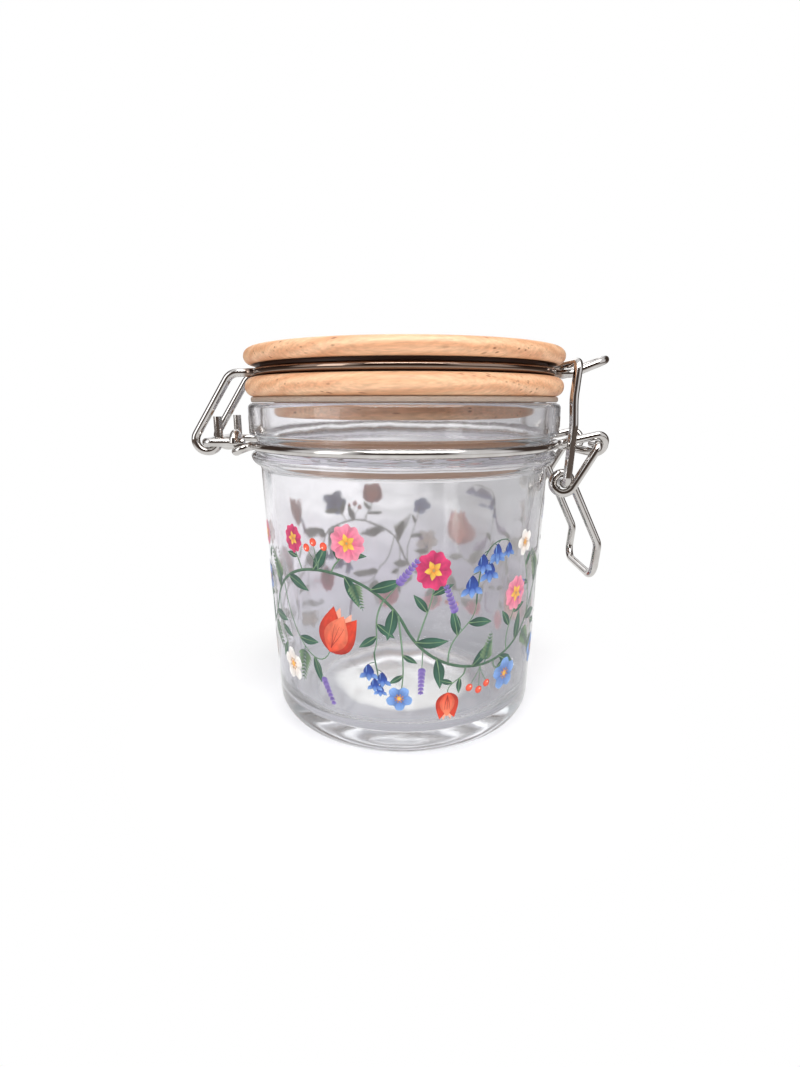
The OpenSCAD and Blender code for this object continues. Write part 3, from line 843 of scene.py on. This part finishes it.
glow = add(
    tree, "ShaderNodeMix", {0: card.outputs[0], 6: (1, 1, 1, 1), 7: linear("#6E635C")}, data_type="RGBA"
)
white = add(tree, "ShaderNodeEmission", {"Color": glow.outputs[2], "Strength": 1.0})
open_floor = add(
    tree, "ShaderNodeMixShader", {0: share.outputs[0], 1: shader.outputs[0], 2: white.outputs[0]}
)

# Seen through the glass, it is white where the push-up gathers the light, grey in the jar's shade
# and clouded lavender farther off, and it is brighter on the left
THROUGH_FAR = 0.5
THROUGH = (
    (0, "#FFFFFF"), (25, "#FFFFFF"), (27, "#BDBDC5"),
    (60, "#C3C2CA"), (170, "#DAD5E1"), (500, "#FAF8FC"),
)
GATHERED_AT = (0, 8 * MM, 0)
from_light = add(tree, "ShaderNodeVectorMath", {0: place, 1: GATHERED_AT}, operation="DISTANCE")
reach = add(
    tree, "ShaderNodeMapRange", {0: from_light.outputs["Value"], 1: 0.0, 2: THROUGH_FAR, 3: 0.0, 4: 1.0}
)
shade = add(tree, "ShaderNodeValToRGB", {0: reach.outputs[0]})
stops = shade.color_ramp.elements
for distance, colour in THROUGH[1:-1]:
    stops.new(distance * MM / THROUGH_FAR).color = linear(colour)
stops[0].color = linear(THROUGH[0][1])
stops[-1].color = linear(THROUGH[-1][1])
CLOUD_MM = 90.0
cloud = add(tree, "ShaderNodeTexNoise", {"Vector": place, "Scale": 1 / (CLOUD_MM * MM), "Detail": 3.0})
cloudy = add(tree, "ShaderNodeMapRange", {0: cloud.outputs[0], 1: 0.35, 2: 0.65, 3: 0.8, 4: 1.1})
LEFT_X, RIGHT_X = -0.08, 0.09
LEFT_LEVEL, RIGHT_LEVEL = 1.08, 0.54
side = add(tree, "ShaderNodeSeparateXYZ", {0: place}).outputs["X"]
dimmer = add(
    tree, "ShaderNodeMapRange", {0: side, 1: LEFT_X, 2: RIGHT_X, 3: LEFT_LEVEL, 4: RIGHT_LEVEL}
)
level = add(tree, "ShaderNodeMath", {0: cloudy.outputs[0], 1: dimmer.outputs[0]}, operation="MULTIPLY")
through = add(tree, "ShaderNodeEmission", {"Color": shade.outputs[0], "Strength": level.outputs[0]})
surface = add(
    tree, "ShaderNodeMixShader",
    {0: rays.outputs["Is Transmission Ray"], 1: open_floor.outputs[0], 2: through.outputs[0]},
)
tree.links.new(surface.outputs[0], output.inputs["Surface"])
floor.data.materials.append(paper)

# The room: white to the camera, lavender through glass, and bright panels between dark ones in metal
PANELS, PANEL_LOW, PANEL_HIGH = 3, -0.2, 0.7
CEILING_LOW, CEILING_HIGH = 0.68, 0.84
AMBIENT = 0.34
world = bpy.data.worlds.new("studio")
world.use_nodes = True
bpy.context.scene.world = world
tree = world.node_tree
tree.nodes.clear()
rays = add(tree, "ShaderNodeLightPath")
way = add(tree, "ShaderNodeTexCoord").outputs["Generated"]
part = add(tree, "ShaderNodeSeparateXYZ", {0: way})
round_way = add(
    tree, "ShaderNodeMath", {0: part.outputs["Y"], 1: part.outputs["X"]}, operation="ARCTAN2"
)
turns = add(tree, "ShaderNodeMath", {0: round_way.outputs[0], 1: -PANELS}, operation="MULTIPLY")
strips = add(tree, "ShaderNodeMath", {0: turns.outputs[0]}, operation="SINE")
panels = add(
    tree, "ShaderNodeMapRange", {0: strips.outputs[0], 1: PANEL_LOW, 2: PANEL_HIGH, 3: 0.0, 4: 1.0},
    interpolation_type="SMOOTHSTEP",
)
ceiling = add(
    tree, "ShaderNodeMapRange", {0: part.outputs["Z"], 1: CEILING_LOW, 2: CEILING_HIGH, 3: 0.0, 4: 1.0},
    interpolation_type="SMOOTHSTEP",
)
lit = add(tree, "ShaderNodeMath", {0: panels.outputs[0], 1: ceiling.outputs[0]}, operation="MAXIMUM")
room = add(
    tree, "ShaderNodeMix",
    {0: lit.outputs[0], 6: linear("#4A3E38"), 7: linear("#FBFBFD")}, data_type="RGBA",
)
light = add(tree, "ShaderNodeBackground", {"Color": (1, 1, 1, 1), "Strength": AMBIENT})
in_metal = add(tree, "ShaderNodeBackground", {"Color": room.outputs[2], "Strength": 1.0})
clear = add(
    tree, "ShaderNodeMix",
    {0: panels.outputs[0], 6: linear("#A9B0B4"), 7: linear("#FCFBFF")}, data_type="RGBA",
)
ROOM_LEFT, ROOM_RIGHT, ROOM_DIM = -0.3, 0.6, 0.52
dimmer = add(
    tree, "ShaderNodeMapRange", {0: part.outputs["X"], 1: ROOM_LEFT, 2: ROOM_RIGHT, 3: 1.0, 4: ROOM_DIM}
)
in_glass = add(tree, "ShaderNodeBackground", {"Color": clear.outputs[2], "Strength": dimmer.outputs[0]})
white = add(tree, "ShaderNodeBackground", {"Color": (1, 1, 1, 1), "Strength": 1.0})
sky = light
for kind, view in (
    ("Is Glossy Ray", in_metal), ("Is Transmission Ray", in_glass), ("Is Camera Ray", white),
):
    sky = add(tree, "ShaderNodeMixShader", {0: rays.outputs[kind], 1: sky.outputs[0], 2: view.outputs[0]})
add(tree, "ShaderNodeOutputWorld", {"Surface": sky.outputs[0]})

# The lamps: where each stands, its width, height and watts, and whether metal and glass show it
JAR_MIDDLE = (0, 0, 0.06)


def softbox(name, spot, width, height, watts, seen):
    """A soft rectangular lamp that faces the jar, and may be left unseen in metal and through glass."""
    lamp = bpy.data.lights.new(name, "AREA")
    lamp.shape = "RECTANGLE"
    lamp.size = width
    lamp.size_y = height
    lamp.energy = watts
    holder = bpy.data.objects.new(name, lamp)
    holder.location = spot
    holder.rotation_euler = (Vector(JAR_MIDDLE) - Vector(spot)).to_track_quat("-Z", "Y").to_euler()
    holder.visible_glossy = seen
    holder.visible_transmission = seen
    bpy.context.scene.collection.objects.link(holder)


softbox("overhead", (0.05, -0.32, 0.74), 0.7, 0.5, 4.8, True)
softbox("left_fill", (-0.65, -0.5, 0.35), 0.3, 0.6, 1.3, True)
softbox("right_fill", (0.6, -0.55, 0.4), 0.25, 0.5, 1.0, False)
softbox("back_fill", (-0.1, 0.6, 0.5), 0.5, 0.4, 1.8, False)
softbox("back_glow", (-0.09, 0.55, 0.46), 0.5, 0.4, 0.4, True)
softbox("strip", (0, -0.5, 0.6), 0.6, 0.04, 0.9, True)

PHOTO_LONG_SIDE = 1067
FOCAL_PX = 560
CAMERA_X, CAMERA_Y, CAMERA_Z = -1.34, -188.0, 102.7
CAMERA_DOWN = 13.2
lens = bpy.data.cameras.new("camera")
lens.sensor_width = 36.0
lens.lens = lens.sensor_width * FOCAL_PX / PHOTO_LONG_SIDE
lens.clip_start = 0.001
camera = bpy.data.objects.new("camera", lens)
camera.location = (CAMERA_X * MM, CAMERA_Y * MM, CAMERA_Z * MM)
camera.rotation_euler = (math.radians(90 - CAMERA_DOWN), 0, 0)
bpy.context.scene.collection.objects.link(camera)
bpy.context.scene.camera = camera

BOUNCES = 24
scene = bpy.context.scene
scene.view_settings.view_transform = "Standard"
scene.cycles.max_bounces = BOUNCES
scene.cycles.transmission_bounces = BOUNCES
scene.cycles.glossy_bounces = BOUNCES
scene.cycles.transparent_max_bounces = BOUNCES

bpy.context.view_layer.update()
